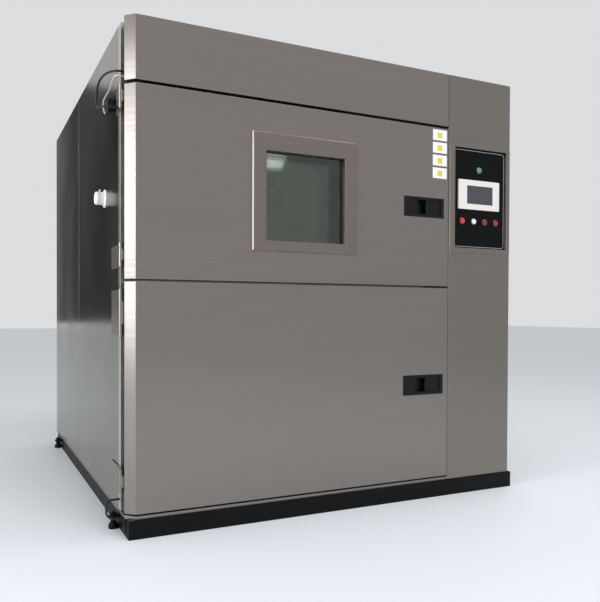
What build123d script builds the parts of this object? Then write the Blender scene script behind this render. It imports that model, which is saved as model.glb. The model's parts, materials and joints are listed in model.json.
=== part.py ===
from build123d import *
import math
import os

os.makedirs("parts", exist_ok=True)

# Two-zone environmental test chamber: a hot zone behind the upper door, a cold zone behind the
# lower door, and a test basket that is lifted between them. Millimetres, +Z up, doors towards -Y.

# Cabinet
cabinet_width = 1780.0
cabinet_depth = 1890.0
cabinet_height = 1850.0
sheet = 2.0
fold = 12.0
corner_strip = 38.0
side_split = 1036.0
panel_joint = 2.0

left = -cabinet_width / 2
right = cabinet_width / 2
front = -cabinet_depth / 2
back = cabinet_depth / 2
room_front = front + side_split

# Plinth and levelling feet
plinth_height = 68.0
plinth_wall = 5.0
plinth_flange = 60.0
plinth_left_inset = 6.0
plinth_right_overhang = 12.0
plinth_front_overhang = 6.0
cross_width = 60.0
cross_count = 3
foot_radius = 18.5
foot_pad_height = 24.0
foot_stud_radius = 6.0
foot_stud_top = 62.0
foot_offset = 19.5
foot_tab_width = 34.0
foot_tab_thickness = 12.0
foot_tab_bottom = 36.0
foot_inset = 157.0
nut_height = 10.0
nut_flats = 19.0
stud_clearance = 0.5

plinth_left = left + plinth_left_inset
plinth_right = right + plinth_right_overhang
plinth_front = front - plinth_front_overhang

# Floor pan
pan_rim = 12.0
sill_setback = 2.0
pan_setback = 8.0
pan_top = plinth_height + pan_rim

# Doors, fascia and the reveal behind them
column_width = 355.0
column_gap = 4.0
door_clearance = 6.0
lower_door_height = 827.0
door_gap = 8.0
upper_door_height = 690.0
fascia_gap = 11.0
chamfer_size = 33.0
slab_depth = 36.0
bend_radius = 3.0
core_inset = 14.0
core_depth = 72.0
frame_depth = 92.0
frame_sheet = 3.0
plug_depth = 122.0
plug_clearance = 18.0
gasket_clearance = 0.3
gasket_width = 20.0
gasket_inset = 10.0
inner_gasket_reach = 22.0
inner_gasket_width = 16.0
gasket_bulb = 5.0

column_left = right - column_width
door_right = column_left - column_gap
door_mid = (left + door_right) / 2
lower_door_bottom = pan_top + door_clearance
lower_door_top = lower_door_bottom + lower_door_height
upper_door_bottom = lower_door_top + door_gap
upper_door_top = upper_door_bottom + upper_door_height
fascia_bottom = upper_door_top + fascia_gap
frame_front = front + frame_depth
frame_back = frame_front + frame_sheet
strip_back = frame_front + corner_strip

# Hot and cold zones
zone_width = 900.0
zone_depth = 740.0
plenum_depth = 130.0
rear_insulation = 66.0
cold_floor_margin = 104.0
cold_height = 610.0
hot_floor_margin = 69.0
hot_height = 550.0

zone_left = door_mid - zone_width / 2
zone_right = door_mid + zone_width / 2
cold_floor = lower_door_bottom + cold_floor_margin
cold_top = cold_floor + cold_height
hot_floor = upper_door_bottom + hot_floor_margin
hot_top = hot_floor + hot_height
baffle_front = frame_back + zone_depth
zone_back = baffle_front + plenum_depth
insulation_back = zone_back + sheet + rear_insulation

# Window in the upper door
window_width = 354.0
window_height = 348.0
window_centre_z = 1253.0
bezel_width = 465.0
bezel_height = 456.0
bezel_rise = 14.0
bezel_proud = 8.0
bezel_bevel = 5.0
spigot_wall = 2.0
spigot_depth = 12.0
pane_thickness = 6.0
middle_pane_depth = 60.0
inner_pane_depth = 106.0
seal_width = 12.0
pane_clearance = 0.3

# Flush paddle latches
latch_width = 212.0
latch_height = 86.0
latch_edge = 25.0
latch_proud = 2.5
latch_body_margin_x = 9.0
latch_body_margin_z = 9.0
latch_body_depth = 32.0
latch_floor = 4.0
latch_blank = 68.0
latch_border_x = 18.0
latch_border_z = 13.0
paddle_width = 75.0
paddle_thickness = 7.0
paddle_gap = 0.8
paddle_pin_radius = 3.0
paddle_swing = 35.0
running_gap = 0.06
upper_latch_z = 1260.0
lower_latch_z = 493.0
latch_right = door_right - latch_edge
latch_left = latch_right - latch_width

# Keepers
keeper_x = 525.0
keeper_width = 8.0
keeper_depth = 40.0
keeper_height = 60.0
keeper_wall = 2.0

# Hinges
hinge_outboard = 9.0
hinge_depth = 50.0
knuckle_radius = 8.0
hinge_pin_radius = 5.0
leaf_thickness = 4.0
door_leaf_thickness = 5.0
door_leaf_depth = 41.0
knuckle_play = 0.3
pin_head = 3.0
door_swing = 110.0
hinge_x = left - hinge_outboard
hinge_y = front + hinge_depth
# bottom, height and reach back along the side of each hinge
upper_hinges = ((1530.0, 82.0, 150.0), (968.0, 82.0, 235.0))
lower_hinges = ((719.0, 166.0, 235.0), (157.0, 82.0, 235.0))

# Control column
column_bevel = 4.0
column_bevel_depth = 3.0
column_radius = 4.0
panel_left_margin = 32.0
panel_width = 301.0
panel_bottom = 1095.0
panel_height = 445.0
hood_left_margin = 4.0
hood_right_margin = 3.0
hood_bottom_margin = 25.0
hood_top_margin = 12.0
hood_proud = 3.0
panel_recess = 10.0
plate_thickness = 3.0
panel_left = column_left + panel_left_margin
panel_right = panel_left + panel_width
panel_top = panel_bottom + panel_height
plate_front = front + panel_recess

# Touch screen, lamp and push buttons
screen_x = column_left + 176.0
screen_z = 1335.0
screen_bezel_width = 238.0
screen_bezel_height = 132.0
screen_bezel_proud = 7.0
screen_radius = 5.0
screen_width = 150.0
screen_height = 82.0
screen_offset_x = 4.5
screen_sink = 3.0
screen_glass = 1.5
screen_body_margin = 7.0
screen_body_depth = 40.0
operator_x = column_left + 180.0
operator_pitch = 65.0
operator_z = 1216.0
lamp_x = column_left + 178.0
lamp_z = 1448.0
ring_radius = 15.0
ring_height = 4.0
neck_radius = 13.0
neck_depth = 14.0
block_size = 27.0
block_depth = 30.0
key_radius = 11.5
key_proud = 4.0
key_stem = 10.0
key_travel = 3.5
lamp_radius = 13.0

# Transfer opening, test basket and lift
throat_width = 640.0
throat_front = 90.0
throat_back = 30.0
rod_radius = 12.5
rod_spread = 150.0
rod_setback = 55.0
cylinder_size = 50.0
basket_width = 624.0
basket_front = 10.0
basket_depth = 515.0
seal_plate = 50.0
seat_height = 5.0
basket_inside = 425.0
post_size = 14.0
rail_radius = 3.0
rail_count = 4
shelf_rail = 1
shelf_wire_radius = 2.0
shelf_wire_pitch = 34.0
shelf_bar = 8.0
shelf_bar_height = 4.0
collar_radius = 20.0
collar_height = 20.0
carriage_width = 380.0
carriage_plate = 12.0
bearing_width = 66.0
bearing_height = 90.0
bearing_wall = 6.0
bearing_play = 0.05

throat_left = door_mid - throat_width / 2
throat_right = door_mid + throat_width / 2
throat_y0 = frame_back + throat_front
throat_y1 = baffle_front - throat_back
rod_y = baffle_front - rod_setback
basket_y0 = throat_y0 + basket_front
basket_y1 = basket_y0 + basket_depth
basket_roof = cold_top - seat_height
basket_floor = basket_roof - basket_inside
lift_travel = hot_floor + seat_height - basket_floor
bearing_inset = 20.0

# Air circulation, heating and refrigeration
wheel_radius = 120.0
wheel_width = 80.0
wheel_blades = 14
wheel_offset_x = 238.0
hot_wheel_z = 1395.0
cold_wheel_z = 640.0
shaft_radius = 8.0
shaft_play = 2.0
fan_shaft_grip = 12.0
motor_radius = 75.0
motor_length = 190.0
heater_tubes = 5
heater_tube_radius = 6.0
heater_pitch = 42.0
coil_fins = 22
coil_tubes = 4
fan_radius = 205.0
fan_blades = 5
fan_hub = 52.0
fan_z = 450.0
condenser_width = 800.0
condenser_height = 580.0
condenser_depth = 60.0
condenser_setback = 45.0
compressor_radius = 105.0
compressor_height = 330.0
louvre_rows = 12
louvre_pitch = 46.0
louvre_length = 370.0
louvre_hood = 12.0

# Cable port on the left side
port_depth = 380.0
port_z = 1259.0
port_radius = 30.0
port_wall = 2.0
port_flange_radius = 52.0
port_flange = 4.0
plug_length = 70.0
plug_play = 0.4
plug_cap_radius = 36.0
plug_cap = 38.0
port_y = front + port_depth

# Cables and door sensor
cable_diameter = 8.0
sensor_cable_diameter = 6.0

nodes = {}


def block(x0, x1, y0, y1, z0, z1):
    centre = Pos((x0 + x1) / 2, (y0 + y1) / 2, (z0 + z1) / 2)
    return centre * Box(x1 - x0, y1 - y0, z1 - z0)


def prism(points, z0, z1):
    outline = Polyline(*[(x, y, z0) for x, y in points], close=True)
    return extrude(make_face(outline), amount=z1 - z0, dir=(0, 0, 1))


def bar(points, x0, x1):
    outline = Polyline(*[(x0, y, z) for y, z in points], close=True)
    return extrude(make_face(outline), amount=x1 - x0, dir=(1, 0, 0))


def disc_x(y, z, radius, x0, x1):
    return Pos((x0 + x1) / 2, y, z) * Rot(0, 90, 0) * Cylinder(radius, x1 - x0)


def disc_y(x, z, radius, y0, y1):
    return Pos(x, (y0 + y1) / 2, z) * Rot(90, 0, 0) * Cylinder(radius, y1 - y0)


def disc_z(x, y, radius, z0, z1):
    return Pos(x, y, (z0 + z1) / 2) * Cylinder(radius, z1 - z0)


def turned(profile, x, y, z):
    # a profile of radius and height turned about a vertical axis
    outline = Polyline(*[(r, 0, h) for r, h in profile], close=True)
    return Pos(x, y, z) * revolve(make_face(outline), axis=Axis.Z)


def turned_y(profile, x, y, z):
    # a profile of radius and depth turned about an axis that points to the back
    outline = Polyline(*[(r, d, 0) for r, d in profile], close=True)
    return Pos(x, y, z) * revolve(make_face(outline), axis=Axis.Y)


def frame_y(outer, inner, y0, y1):
    # a flat rectangular frame: outer and inner are x0, x1, z0, z1
    body = block(outer[0], outer[1], y0, y1, outer[2], outer[3])
    return body - block(inner[0], inner[1], y0 - 1, y1 + 1, inner[2], inner[3])


def frame_xy(outer, inner, z0, z1):
    # a flat rectangular frame: outer and inner are x0, x1, y0, y1
    body = block(outer[0], outer[1], outer[2], outer[3], z0, z1)
    return body - block(inner[0], inner[1], inner[2], inner[3], z0 - 1, z1 + 1)


def grown(box, amount):
    return (box[0] - amount, box[1] + amount, box[2] - amount, box[3] + amount)


def near(values, limit=0.01):
    # keeps the edges whose centre matches every given coordinate
    def test(edge):
        centre = edge.center()
        place = {"x": centre.X, "y": centre.Y, "z": centre.Z}
        return all(abs(place[name] - value) < limit for name, value in values.items())

    return test


def solids_of(shape):
    return list(shape.solids())


def add(name, *shapes):
    found = []
    for shape in shapes:
        found += solids_of(shape)
    nodes[name] = found


# The plinth: rectangular tubes butted into a ring, cross members, and tabs for the levelling feet
def tube(x0, x1, y0, y1, along):
    # a rectangular tube: along is the axis it runs on, and its ends are open unless it is "closed"
    body = block(x0, x1, y0, y1, 0, plinth_height)
    w = plinth_wall
    ex = -1 if along == "x" else w
    ey = -1 if along == "y" else w
    return body - block(x0 + ex, x1 - ex, y0 + ey, y1 - ey, w, plinth_height - w)


def plinth_members():
    y0, y1 = plinth_front + plinth_flange, back - plinth_flange
    x0, x1 = plinth_left + plinth_flange, plinth_right - plinth_flange
    members = [
        tube(plinth_left, plinth_right, plinth_front, y0, "closed"),
        tube(plinth_left, plinth_right, y1, back, "closed"),
        tube(plinth_left, x0, y0, y1, "y"),
        tube(x1, plinth_right, y0, y1, "y"),
    ]
    for index in range(cross_count):
        y = cross_y(index)
        members.append(tube(x0, x1, y - cross_width / 2, y + cross_width / 2, "x"))
    z0, z1 = foot_tab_bottom, foot_tab_bottom + foot_tab_thickness
    for x, y, side in foot_places():
        edge = x - side * foot_offset
        half = foot_tab_width / 2
        tab = block(min(edge, x), max(edge, x), y - half, y + half, z0, z1)
        tab += disc_z(x, y, half, z0, z1)
        tab -= disc_z(x, y, foot_stud_radius + stud_clearance, z0 - 1, z1 + 1)
        inside = edge - side * foot_tab_width
        tab -= block(min(edge, inside), max(edge, inside), y - 2 * half, y + 2 * half, 0, plinth_height)
        members.append(tab)
    return members


def cross_y(index):
    return (index - (cross_count - 1) / 2) * cabinet_depth / (cross_count + 1)


def foot_places():
    places = []
    for y in (front + foot_inset, back - foot_inset):
        places.append((plinth_left - foot_offset, y, -1))
        places.append((plinth_right + foot_offset, y, 1))
    return places


# Levelling feet: a pad with its stud, and a nut above and below the tab
def levelling_foot(x, y):
    profile = [
        (0, 0), (foot_radius, 0), (foot_radius, foot_pad_height * 0.55),
        (foot_radius * 0.6, foot_pad_height), (foot_stud_radius, foot_pad_height),
        (foot_stud_radius, foot_stud_top), (0, foot_stud_top),
    ]
    return turned(profile, x, y, 0)


def foot_nut(x, y, z):
    nut = Pos(x, y, z) * extrude(RegularPolygon(nut_flats / math.sqrt(3), 6), nut_height)
    return nut - disc_z(x, y, foot_stud_radius, z - 1, z + nut_height + 1)


# The floor pan, a tray turned down over the plinth, its front edge the sill under the doors
def pan_plan(inset):
    y0 = front + sill_setback + inset
    y1 = front + pan_setback + inset
    step = inset * (math.sqrt(2) - 1)
    return [
        (left + chamfer_size + step, y0), (column_left - inset, y0), (column_left - inset, y1),
        (right - inset, y1), (right - inset, back - inset), (left + inset, back - inset),
        (left + inset, front + sill_setback + chamfer_size + step),
    ]


def floor_pan():
    pan = prism(pan_plan(0), plinth_height, pan_top)
    return pan - prism(pan_plan(sheet), plinth_height - 1, pan_top - sheet)


# A side panel with folded edges
def side_panel(x, inward, y0, y1, folded_back=True):
    z1 = cabinet_height
    points = [(x, y0), (x + inward * fold, y0), (x + inward * fold, y0 + sheet), (x + inward * sheet, y0 + sheet)]
    if folded_back:
        points += [(x + inward * sheet, y1 - sheet), (x + inward * fold, y1 - sheet), (x + inward * fold, y1), (x, y1)]
    else:
        points += [(x + inward * sheet, y1), (x, y1)]
    panel = prism(points, pan_top, z1)
    return panel - block(left + sheet, right - sheet, y0 - 1, y1 + 1, z1 - sheet, z1 + 1)


def left_panels():
    lower = side_panel(left, 1, strip_back, room_front)
    rear = side_panel(left, 1, room_front + panel_joint, back, folded_back=False)
    port = disc_x(port_y, port_z, port_radius + port_wall, left - 1, left + fold)
    return [lower - port, rear]


def right_panels():
    lower = side_panel(right, -1, strip_back, room_front)
    rear = side_panel(right, -1, room_front + panel_joint, back, folded_back=False)
    return [lower, rear]


# The rear panel, pressed with two columns of hooded louvres for the condenser
def rear_panel():
    x0, x1 = left + sheet, right - sheet
    z0, z1 = pan_top, cabinet_height - sheet
    panel = block(x0, x1, back - fold, back, z0, z1)
    panel -= block(x0 + sheet, x1 - sheet, back - fold - 1, back - sheet, z0 + sheet, z1 - sheet)
    middle = (condenser_box()[0] + condenser_box()[1]) / 2
    first = condenser_box()[2] + louvre_pitch / 2
    hood_drop = louvre_pitch * 0.42
    for side in (-1, 1):
        a = middle + side * louvre_length * 0.54 - louvre_length / 2
        for row in range(louvre_rows):
            z = first + row * louvre_pitch
            panel -= block(a, a + louvre_length, back - sheet - 1, back + 1, z, z + hood_drop)
            outline = [
                (back - sheet, z + hood_drop), (back, z + hood_drop),
                (back + louvre_hood, z + sheet), (back + louvre_hood, z),
                (back + louvre_hood - sheet, z), (back - sheet, z + hood_drop - sheet),
            ]
            panel += bar(outline, a, a + louvre_length)
    return panel


def top_panel():
    x0, x1 = left + sheet, right - sheet
    y0, y1 = frame_front, back - sheet
    rim = 2 * fold
    panel = block(x0, x1, y0, back, cabinet_height - sheet, cabinet_height)
    skirt = block(x0 + fold, x1 - fold, strip_back + fold, y1 - fold, cabinet_height - rim, cabinet_height - sheet)
    skirt -= block(
        x0 + fold + sheet, x1 - fold - sheet, strip_back + fold + sheet, y1 - fold - sheet,
        cabinet_height - rim - 1, cabinet_height,
    )
    panel -= block(right - fold, right, y0 - 1, strip_back, cabinet_height - rim, cabinet_height + 1)
    return panel + skirt


# The stainless face frame that the doors close against, returned along the left side
def zone_box(floor, roof):
    return (zone_left, zone_right, floor, roof)


def face_frame():
    z1 = cabinet_height - sheet
    frame = block(left, column_left, frame_front, frame_back, pan_top, z1)
    frame += block(left, left + frame_sheet, frame_front, strip_back, pan_top, z1)
    for box in (zone_box(cold_floor, cold_top), zone_box(hot_floor, hot_top)):
        frame -= block(box[0], box[1], frame_front - 1, frame_back + 1, box[2], box[3])
    return frame


# Keepers on the face frame that the two latches draw against
def latch_keeper(z):
    x0 = keeper_x - keeper_width / 2
    body = block(x0, x0 + keeper_width, frame_front - keeper_depth, frame_front, z - keeper_height / 2, z + keeper_height / 2)
    slot = block(
        x0 - 1, x0 + keeper_width - keeper_wall, frame_front - keeper_depth + keeper_wall,
        frame_front - keeper_wall, z - keeper_height / 2 + keeper_wall, z + keeper_height / 2 - keeper_wall,
    )
    return body - slot


# A door or fascia pan: a chamfered left end, folded edges and an open back
def pan_outline(right_end, inset):
    step = inset * (math.sqrt(2) - 1)
    return [
        (right_end - inset, front + inset),
        (left + chamfer_size + step, front + inset),
        (left + inset, front + chamfer_size + step),
        (left + inset, front + slab_depth),
        (right_end - inset, front + slab_depth),
    ]


def chamfered_pan(right_end, z0, z1):
    outer = prism(pan_outline(right_end, 0), z0, z1)
    bends = [
        edge for edge in outer.edges().filter_by(Axis.Z)
        if near({"x": left + chamfer_size, "y": front})(edge)
        or near({"x": left, "y": front + chamfer_size})(edge)
    ]
    outer = fillet(bends, bend_radius)
    rims = [
        edge for edge in outer.edges().filter_by(Axis.X)
        if abs(edge.center().Y - front) < 0.01
    ]
    outer = fillet(rims, bend_radius * 0.6)
    return outer - prism(pan_outline(right_end, sheet), z0 + sheet, z1 - sheet)


def core_box(z0, z1):
    return (left + core_inset, door_right - core_inset, z0 + core_inset, z1 - core_inset)


def plug_box(floor, roof):
    return grown(zone_box(floor, roof), -plug_clearance)


def door_core(z0, z1, floor, roof):
    # insulating foam with its black thermal-break edge, filling the pan and the inner liner
    core = prism(pan_outline(door_right, sheet), z0 + sheet, z1 - sheet)
    box = core_box(z0, z1)
    core += block(box[0], box[1], front + slab_depth, front + core_depth, box[2], box[3])
    plug = grown(plug_box(floor, roof), -sheet)
    raised = block(plug[0], plug[1], front + core_depth, front + plug_depth - sheet, plug[2], plug[3])
    return core + chamfer(raised.edges().group_by(Axis.Y)[-1], sheet * 2)


def door_liner(z0, z1, floor, roof):
    box = core_box(z0, z1)
    liner = block(box[0], box[1], front + core_depth, front + core_depth + sheet, box[2], box[3])
    plug = plug_box(floor, roof)
    raised = block(plug[0], plug[1], front + core_depth, front + plug_depth, plug[2], plug[3])
    raised = chamfer(raised.edges().group_by(Axis.Y)[-1], sheet * 2)
    inner = grown(plug, -sheet)
    hollow = block(inner[0], inner[1], front + core_depth - 1, front + plug_depth - sheet, inner[2], inner[3])
    hollow = chamfer(hollow.edges().group_by(Axis.Y)[-1], sheet * 2)
    return liner + raised - hollow


def gasket_ring(outer, width):
    y0, y1 = front + core_depth + sheet, frame_front - gasket_clearance
    ring = frame_y(outer, grown(outer, -width), y0, y1)
    return fillet(ring.edges().group_by(Axis.Y)[-1], gasket_bulb)


def door_gasket(z0, z1, floor, roof):
    outer = gasket_ring(grown(core_box(z0, z1), -gasket_inset), gasket_width)
    inner = gasket_ring(grown(zone_box(floor, roof), inner_gasket_reach), inner_gasket_width)
    return [outer, inner]


def tunnel_box(extra=0.0):
    half_w, half_h = window_width / 2 + extra, window_height / 2 + extra
    return (door_mid - half_w, door_mid + half_w, window_centre_z - half_h, window_centre_z + half_h)


def window_hole(shape):
    box = tunnel_box()
    return shape - block(box[0], box[1], front - 50, front + plug_depth + 50, box[2], box[3])


def window_frame():
    # a raised bezel with a bevelled edge and a spigot that lines the hole in the door
    half_w, half_h = bezel_width / 2, bezel_height / 2
    middle = window_centre_z + bezel_rise
    body = block(door_mid - half_w, door_mid + half_w, front - bezel_proud, front, middle - half_h, middle + half_h)
    body = chamfer(body.edges().group_by(Axis.Y)[0], bezel_bevel)
    hole = tunnel_box(-spigot_wall)
    body -= block(hole[0], hole[1], front - bezel_proud - 1, front + 1, hole[2], hole[3])
    return body + frame_y(tunnel_box(), hole, front - 1, front + spigot_depth)


def window_panes():
    box = tunnel_box(-pane_clearance)
    panes = []
    for depth in (spigot_depth, middle_pane_depth, inner_pane_depth):
        y0 = front + depth
        panes.append(block(box[0], box[1], y0, y0 + pane_thickness, box[2], box[3]))
    return panes


def glazing_spacers():
    thin = frame_y(
        tunnel_box(-pane_clearance), tunnel_box(-pane_clearance - spigot_wall),
        front + spigot_depth + pane_thickness, front + middle_pane_depth,
    )
    thick = frame_y(
        tunnel_box(-pane_clearance), tunnel_box(-pane_clearance - seal_width),
        front + middle_pane_depth + pane_thickness, front + inner_pane_depth,
    )
    bead = frame_y(
        tunnel_box(-pane_clearance), tunnel_box(-pane_clearance - seal_width),
        front + inner_pane_depth + pane_thickness, front + plug_depth,
    )
    return [thin, thick, bead]


# The latch housing, a flanged tray let into the door, with a finger space behind the paddle
def latch_box(z):
    return (latch_left, latch_right, z - latch_height / 2, z + latch_height / 2)


def latch_body_box(z, extra=0.0):
    x0, x1, z0, z1 = latch_box(z)
    mx, mz = latch_body_margin_x - extra, latch_body_margin_z - extra
    return (x0 + mx, x1 - mx, z0 + mz, z1 - mz)


def latch_pocket(shape, z):
    box = latch_body_box(z)
    return shape - block(box[0], box[1], front - 50, front + latch_body_depth, box[2], box[3])


def paddle_axis():
    return (latch_right - latch_border_x - paddle_gap - paddle_thickness / 2, front + paddle_thickness / 2)


def latch_housing(z):
    x0, x1, z0, z1 = latch_box(z)
    body_box = latch_body_box(z)
    flange = block(x0, x1, front - latch_proud, front, z0, z1)
    flange = chamfer(flange.edges().group_by(Axis.Y)[0], latch_proud * 0.6)
    body = flange + block(body_box[0], body_box[1], front, front + latch_body_depth, body_box[2], body_box[3])
    half = latch_height / 2 - latch_border_z
    cavity = block(
        x0 + latch_blank, x1 - latch_border_x, front - latch_proud - 1,
        front + latch_body_depth - latch_floor, z - half, z + half,
    )
    cavity = fillet(cavity.edges().filter_by(Axis.Z), paddle_thickness / 2)
    body -= cavity
    body -= block(
        x0 + latch_border_x, x0 + latch_blank - latch_floor, front - latch_proud - 1,
        front - latch_proud / 2, z - half, z + half,
    )
    px, py = paddle_axis()
    reach = half + 3 * paddle_gap
    body -= disc_z(px, py, paddle_pin_radius + running_gap, z - reach, z + reach)
    return body


def latch_paddle(z):
    # a lever plate with a curled finger edge, turning on stub pins at its right end
    half = latch_height / 2 - latch_border_z
    px, py = paddle_axis()
    x1 = px + paddle_thickness / 2
    x0 = x1 - paddle_width
    y0, y1 = py - paddle_thickness / 2, py + paddle_thickness / 2
    curl = paddle_thickness * 1.6
    points = [
        (px, y0), (px, y1), (x0 + curl, y1), (x0 + curl * 0.7, y1 + curl * 0.8), (x0, y1 + curl),
        (x0, y0 + curl * 0.4), (x0 + curl * 0.4, y0),
    ]
    plate = prism(points, z - half + paddle_gap, z + half - paddle_gap)
    plate += disc_z(px, py, paddle_thickness / 2, z - half + paddle_gap, z + half - paddle_gap)
    return plate + disc_z(px, py, paddle_pin_radius, z - half - 2 * paddle_gap, z + half + 2 * paddle_gap)


# Hinges: a leaf on the cabinet's side, a leaf on the door's edge, and a pin between
def cabinet_leaf(z, height, reach):
    z1 = z + height
    low, high = z + height / 4, z + 3 * height / 4
    leaf = block(left - leaf_thickness, left, hinge_y, front + reach, z, z1)
    leaf += disc_z(hinge_x, hinge_y, knuckle_radius, z, z1)
    leaf -= block(
        hinge_x - 2 * knuckle_radius, left + 1, hinge_y - 2 * knuckle_radius,
        hinge_y + knuckle_radius + 2 * knuckle_play, low, high,
    )
    return leaf - disc_z(hinge_x, hinge_y, hinge_pin_radius + running_gap, z - 1, z1 + 1)


def door_leaf(z, height):
    low, high = z + height / 4 + knuckle_play, z + 3 * height / 4 - knuckle_play
    face = left + core_inset
    y0 = front + door_leaf_depth
    leaf = disc_z(hinge_x, hinge_y, knuckle_radius, low, high)
    leaf += block(hinge_x, face, y0, y0 + door_leaf_thickness, low, high)
    leaf += block(face - door_leaf_thickness, face, y0, front + core_depth, low, high)
    return leaf - disc_z(hinge_x, hinge_y, hinge_pin_radius + running_gap, low - 1, high + 1)


def hinge_pin(z, height):
    top = z + height
    head = (knuckle_radius - 1, pin_head)
    pin = disc_z(hinge_x, hinge_y, hinge_pin_radius, z - pin_head, top)
    return pin + disc_z(hinge_x, hinge_y, head[0], top, top + head[1])


# The control column, one folded sheet from the face frame round to the right side
def column_outline(inset):
    slope = inset * 0.4
    return [
        (column_left + inset, frame_front),
        (column_left + inset, front + column_bevel_depth + inset - slope / 2),
        (column_left + column_bevel + slope / 2, front + inset),
        (right - inset, front + inset),
        (right - inset, strip_back),
        (right - inset - 1, strip_back),
        (right - inset - 1, frame_front),
    ]


def column_skin():
    outer_points = column_outline(0)[:5] + [(right - fold, strip_back), (right - fold, frame_front)]
    outer = prism(outer_points, plinth_height + 1, cabinet_height)
    corner = [edge for edge in outer.edges().filter_by(Axis.Z) if near({"x": right, "y": front})(edge)]
    outer = fillet(corner, column_radius)
    inner_points = column_outline(sheet)[:4] + [
        (right - sheet, strip_back + 1), (right - fold - 1, strip_back + 1),
        (right - fold - 1, frame_front + 1), (column_left + sheet, frame_front + 1),
    ]
    skin = outer - prism(inner_points, plinth_height, cabinet_height - sheet)
    skin -= block(left, right + 1, front + pan_setback - 0.5, strip_back + 1, 0, pan_top)
    cut = grown((panel_left, panel_right, panel_bottom, panel_top), sheet)
    return skin - block(cut[0], cut[1], front - 1, front + sheet + 1, cut[2], cut[3])


def control_bezel():
    hole = (panel_left, panel_right, panel_bottom, panel_top)
    x0, x1 = column_left + hood_left_margin, right - hood_right_margin
    z0, z1 = panel_bottom - hood_bottom_margin, panel_top + hood_top_margin
    plate = block(x0, x1, front - hood_proud, front, z0, z1)
    plate = fillet(plate.edges().group_by(Axis.Y)[0], hood_proud * 0.6)
    plate -= block(hole[0], hole[1], front - hood_proud - 1, front + 1, hole[2], hole[3])
    return plate + frame_y(grown(hole, sheet), hole, front - 0.5, plate_front)


def operator_places():
    return [(operator_x + (i - 1.5) * operator_pitch, operator_z) for i in range(4)]


def control_plate():
    box = grown((panel_left, panel_right, panel_bottom, panel_top), sheet)
    plate = block(box[0], box[1], plate_front, plate_front + plate_thickness, box[2], box[3])
    w = screen_bezel_width / 2 - screen_body_margin
    h = screen_bezel_height / 2 - screen_body_margin
    plate -= block(screen_x - w, screen_x + w, front, front + 50, screen_z - h, screen_z + h)
    for x, z in operator_places() + [(lamp_x, lamp_z)]:
        plate -= disc_y(x, z, neck_radius, front, front + 50)
    return plate


def touch_panel():
    w, h = screen_bezel_width / 2, screen_bezel_height / 2
    y0 = plate_front - screen_bezel_proud
    bezel = block(screen_x - w, screen_x + w, y0, plate_front, screen_z - h, screen_z + h)
    bezel = fillet(bezel.edges().filter_by(Axis.Y), screen_radius)
    bezel = fillet(bezel.edges().group_by(Axis.Y)[0], screen_radius / 3)
    bw, bh = w - screen_body_margin, h - screen_body_margin
    bezel += block(
        screen_x - bw, screen_x + bw, plate_front, plate_front + screen_body_depth,
        screen_z - bh, screen_z + bh,
    )
    gx, gw, gh = screen_x + screen_offset_x, screen_width / 2, screen_height / 2
    return bezel - block(gx - gw, gx + gw, y0 - 1, y0 + screen_sink, screen_z - gh, screen_z + gh)


def touch_glass():
    y0 = plate_front - screen_bezel_proud + screen_sink
    gx, gw, gh = screen_x + screen_offset_x, screen_width / 2, screen_height / 2
    return block(gx - gw, gx + gw, y0 - screen_glass, y0, screen_z - gh, screen_z + gh)


def operator_body(x, z):
    # a bezel ring and threaded neck through the plate, with the contact block behind
    ring = turned_y(
        [
            (key_radius + running_gap, -ring_height), (ring_radius - 1.5, -ring_height),
            (ring_radius, -ring_height + 1.5), (ring_radius, 0), (neck_radius, 0),
            (neck_radius, neck_depth), (key_radius + running_gap, neck_depth),
        ],
        x, plate_front, z,
    )
    half = block_size / 2
    y0 = plate_front + neck_depth
    return ring + block(x - half, x + half, y0, y0 + block_depth, z - half, z + half)


def push_key(x, z):
    depth = key_stem
    return turned_y(
        [
            (0, -ring_height - key_proud), (key_radius - 2, -ring_height - key_proud),
            (key_radius, -ring_height - key_proud + 1.5), (key_radius, depth), (0, depth),
        ],
        x, plate_front, z,
    )


def run_lamp():
    return turned_y(
        [
            (0, -ring_height - 7), (lamp_radius * 0.55, -ring_height - 6),
            (lamp_radius * 0.9, -ring_height - 3), (lamp_radius, -ring_height),
            (key_radius, -ring_height), (key_radius, key_stem), (0, key_stem),
        ],
        lamp_x, plate_front, lamp_z,
    )


# Zone liners, with the transfer throat between them, and the foam around them
def liner_shell(floor, roof):
    outer = block(zone_left - sheet, zone_right + sheet, frame_back, zone_back + sheet, floor - sheet, roof + sheet)
    return outer - block(zone_left, zone_right, frame_back - 1, zone_back, floor, roof)


def throat_block(extra, z0, z1):
    return block(
        throat_left - extra, throat_right + extra, throat_y0 - extra, throat_y1 + extra, z0, z1
    )


def wheel_x():
    return door_mid + wheel_offset_x


def zone_liners():
    hot = liner_shell(hot_floor, hot_top) - throat_block(0, hot_floor - 10, hot_floor + 10)
    cold = liner_shell(cold_floor, cold_top) - throat_block(0, cold_top - 10, cold_top + 10)
    hot -= disc_y(wheel_x(), hot_wheel_z, shaft_radius + shaft_play, zone_back - 5, zone_back + 10)
    cold -= disc_y(wheel_x(), cold_wheel_z, shaft_radius + shaft_play, zone_back - 5, zone_back + 10)
    hot -= disc_x(port_y, port_z, port_radius, zone_left - 10, zone_left + 10)
    z0, z1 = cold_top + sheet, hot_floor - sheet
    throat = throat_block(sheet, z0, z1) - throat_block(0, z0 - 1, z1 + 1)
    return [hot, cold, throat]


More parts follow.
